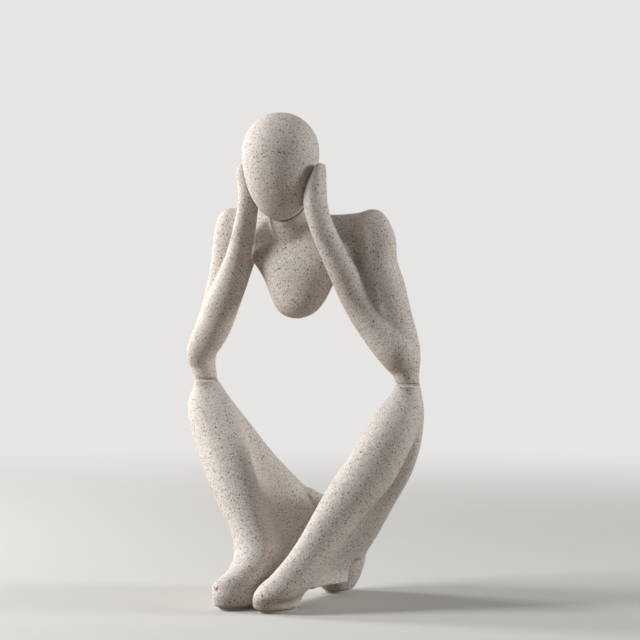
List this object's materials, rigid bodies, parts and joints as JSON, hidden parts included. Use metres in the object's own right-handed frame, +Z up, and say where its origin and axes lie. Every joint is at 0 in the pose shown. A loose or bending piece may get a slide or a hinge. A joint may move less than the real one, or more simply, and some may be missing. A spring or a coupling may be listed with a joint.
{
  "type": "seated thinker figurine",
  "caption": "Abstract seated thinker figure in speckled sandstone-effect resin, elbows on knees, plain egg-shaped head held between both hands; ornament for a shelf or desk.",
  "frame": {"origin": "on the floor, at the middle of the figure's width and depth", "axes": "+Z up, the figure faces -Y, its own left is +X"},
  "size_m": [0.1404, 0.1172, 0.259],
  "materials": {
    "cast_resin": "matte speckled sandstone effect, cast resin",
    "bond_resin": "matte, slightly rough hardened bonding resin",
    "pin_steel": "plain drawn steel, hidden",
    "pad_foam": "matte thin non-slip foam pad"
  },
  "bodies": {
    "root": {"head": "cast_resin", "torso": "cast_resin", "left_arm": "cast_resin", "right_arm": "cast_resin", "left_leg": "cast_resin", "right_leg": "cast_resin", "seat": "cast_resin", "left_elbow_bond": "bond_resin", "right_elbow_bond": "bond_resin", "left_palm_bond": "bond_resin", "right_palm_bond": "bond_resin", "neck_pin": "pin_steel", "left_shoulder_pin": "pin_steel", "right_shoulder_pin": "pin_steel", "left_elbow_pin": "pin_steel", "right_elbow_pin": "pin_steel", "left_hip_pin": "pin_steel", "right_hip_pin": "pin_steel", "left_foot_pad": "pad_foam", "right_foot_pad": "pad_foam", "seat_pad": "pad_foam"}
  },
  "joints": []
}
